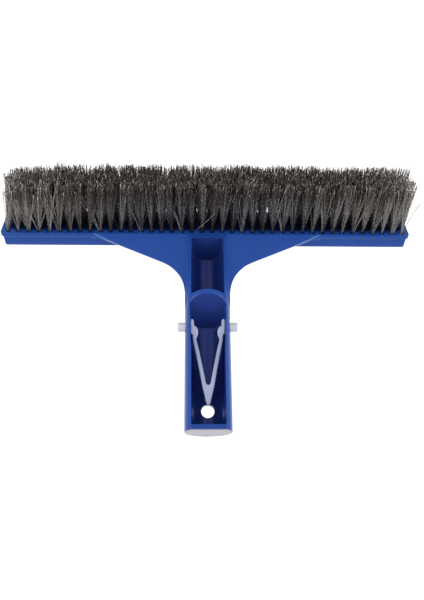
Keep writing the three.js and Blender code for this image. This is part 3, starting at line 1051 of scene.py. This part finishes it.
def pale_plastic(nodes):
    position = nodes.object_position()
    x, y, _ = nodes.split(position)
    drift = nodes.noise(position, scale=90.0, detail=3.0)
    # the arms' bluish grey is the pale plastic darkened and blued by painted shade and painted
    # blue bounce light from the trough
    colour = nodes.ramp(drift, [(0.3, (0.44, 0.49, 0.68)), (0.7, (0.50, 0.55, 0.75))])
    # the heads of the arms are paler than the arms
    head = nodes.remap(y, start=0.054, end=0.059)
    colour = nodes.tint(head, colour, (0.58, 0.63, 0.83))
    # and the buttons outside the walls are painted much lighter, painted light where the arms
    # lie in the trough's shade
    button = nodes.remap(nodes.math("ABSOLUTE", x), start=0.0118, end=0.0134)
    colour = nodes.tint(button, colour, (0.85, 0.84, 0.90))
    patches = nodes.noise(position, scale=240.0, detail=2.0)
    return {
        "Base Color": colour,
        "Roughness": nodes.remap(patches, start=0.3, end=0.7, low=0.28, high=0.40),
        "Subsurface Weight": 0.2,
        "Subsurface Radius": (0.0012, 0.0012, 0.0014),
        "Subsurface Scale": 1.0,
        "Normal": nodes.fine_bump(nodes.noise(position, scale=1400.0, detail=2.0)),
    }


def steel_wire(nodes):
    wire_tint = nodes.add("Attribute")
    wire_tint.attribute_name = "wire_tint"
    # blotches, as much lighter as darker, on top of the wire's tint, which holds painted shade
    # and painted highlights as well as each wire's own tone
    blotch = nodes.noise(nodes.object_position(), scale=420.0, detail=2.0, roughness=0.6)
    blotch = nodes.math("MULTIPLY_ADD", blotch, 0.7, -0.35)
    shade = nodes.math("ADD", blotch, wire_tint.outputs["Fac"], clamp=True)
    stops = [
        (0.0, (0.050, 0.042, 0.038)),
        (0.5, (0.155, 0.135, 0.122)),
        (0.8, (0.33, 0.30, 0.28)),
        (1.0, (0.66, 0.63, 0.60)),
    ]
    return {"Base Color": nodes.ramp(shade, stops), "Metallic": 0.85, "Roughness": 0.38}


def floor_white(nodes):
    # seen directly the floor is pure white; reflected, it is bright only close by
    ray = nodes.add("LightPath").outputs
    direct = nodes.math("MULTIPLY_ADD", ray["Is Camera Ray"], 0.75, 0.50)
    reflected = nodes.remap(ray["Ray Length"], start=0.018, end=0.05, low=1.15, high=0.38)
    strength = nodes.add("Mix")
    # sockets 0, 2 and 3 are the factor and the two numbers
    nodes.feed(strength.inputs[0], ray["Is Glossy Ray"])
    nodes.feed(strength.inputs[2], direct)
    nodes.feed(strength.inputs[3], reflected)
    return {
        "Base Color": (0.16, 0.16, 0.16, 1),
        "Roughness": 0.9,
        "Specular IOR Level": 0.0,
        "Emission Color": (1, 1, 1, 1),
        "Emission Strength": strength.outputs[0],
    }


blue = new_material("blue_plastic", blue_plastic)
pale = new_material("pale_plastic", pale_plastic)
steel = new_material("steel_wire", steel_wire)
body.data.materials.append(blue)
for ob in (clip_root, *clip_arms):
    ob.data.materials.append(pale)
for ob in columns:
    ob.data.materials.append(steel)
for name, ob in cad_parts.items():
    material = blue if name == "body" else pale if name.startswith("v_clip") else steel
    ob.data.materials.clear()
    ob.data.materials.append(material)


# ------------------------------------------------------------------ stage, metres
FLOOR_HALF = 6.0
FLOOR_GAP = 0.0006              # between the handle and the floor
scene = bpy.context.scene


def build_floor():
    mesh = bpy.data.meshes.new("floor")
    half, z = FLOOR_HALF, -HANDLE_R * MM - FLOOR_GAP
    corners = [(-half, -half, z), (half, -half, z), (half, half, z), (-half, half, z)]
    mesh.from_pydata(corners, [], [(0, 1, 2, 3)])
    ob = bpy.data.objects.new("floor", mesh)
    scene.collection.objects.link(ob)
    mesh.materials.append(new_material("floor_white", floor_white))


def build_world():
    """A white studio: bright towards the horizon, dimmer overhead."""
    world = bpy.data.worlds.new("studio")
    scene.world = world
    world.use_nodes = True
    nodes = Nodes(world.node_tree)
    background = nodes.tree.nodes["Background"]
    height = nodes.split(nodes.add("TexCoord").outputs["Generated"])["Z"]
    light = nodes.remap(height, start=0.0, end=0.75, low=0.62, high=0.55, smooth=True)
    seen = nodes.product(nodes.add("LightPath").outputs["Is Camera Ray"], 1.25)
    nodes.feed(background.inputs["Color"], (1, 1, 1, 1))
    nodes.feed(background.inputs["Strength"], nodes.math("MAXIMUM", light, seen))


def soft_box(name, side, power):
    """An area light to one side, turned to the middle of the brush."""
    light = bpy.data.lights.new(name, "AREA")
    light.shape = "RECTANGLE"
    light.size, light.size_y = 0.9, 0.8
    light.energy = power
    ob = bpy.data.objects.new(name, light)
    scene.collection.objects.link(ob)
    ob.location = (side * 1.25, -0.2, 0.78)
    aim = Vector((0, 0.07, 0)) - Vector((side * 1.25, -0.2, 0.78))
    ob.rotation_euler = aim.to_track_quat("-Z", "Y").to_euler()


def build_camera():
    camera = bpy.data.cameras.new("camera")
    camera.lens = 36.75702
    camera.sensor_width = 36.0
    camera.clip_start = 0.01
    camera.clip_end = 20
    ob = bpy.data.objects.new("camera", camera)
    scene.collection.objects.link(ob)
    place = Vector((-10.5077145, -62.04615412, 347.12013074)) * MM
    forward = Vector((0.03551874, 0.38033427, -0.9241668)).normalized()
    up = Vector((-0.00326783, 0.92478956, 0.38046497)).normalized()
    right = forward.cross(up).normalized()
    up = right.cross(forward)
    turn = Matrix((right, up, -forward)).transposed()
    ob.matrix_world = Matrix.Translation(place) @ turn.to_4x4()
    scene.camera = ob


build_floor()
build_world()
soft_box("left_box", side=-1, power=10.8)
soft_box("right_box", side=1, power=10.4)
build_camera()
scene.view_settings.view_transform = "Standard"
scene.view_settings.look = "None"
scene.view_settings.exposure = 0.0
scene.view_settings.gamma = 1.0
